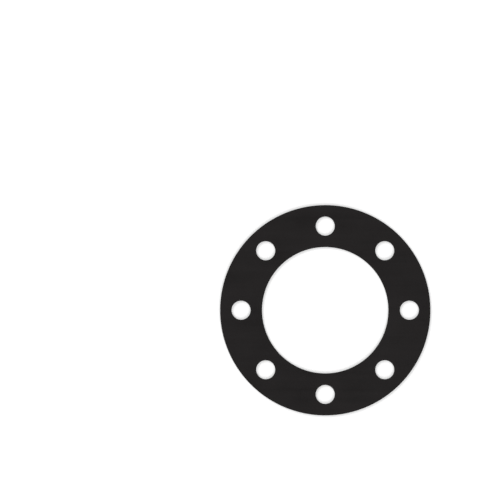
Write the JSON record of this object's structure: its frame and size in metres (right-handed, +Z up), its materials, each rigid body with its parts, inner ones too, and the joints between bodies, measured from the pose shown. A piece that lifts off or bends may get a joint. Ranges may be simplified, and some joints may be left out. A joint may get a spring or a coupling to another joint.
{
  "type": "flange gasket",
  "caption": "Flat full-face rubber gasket ring with a wide round bore and a circle of bolt holes, to seal between two bolted pipe flanges.",
  "frame": {"origin": "centre of the bore on the gasket's underside, the face it lies on", "axes": "+Z up along the bore, square to both sealing faces; +X through the centre of a bolt hole; +Y also through one"},
  "size_m": [0.2, 0.2, 0.003],
  "materials": {
    "rubber": "matte"
  },
  "bodies": {
    "root": {"flange_gasket": "rubber"}
  },
  "joints": []
}
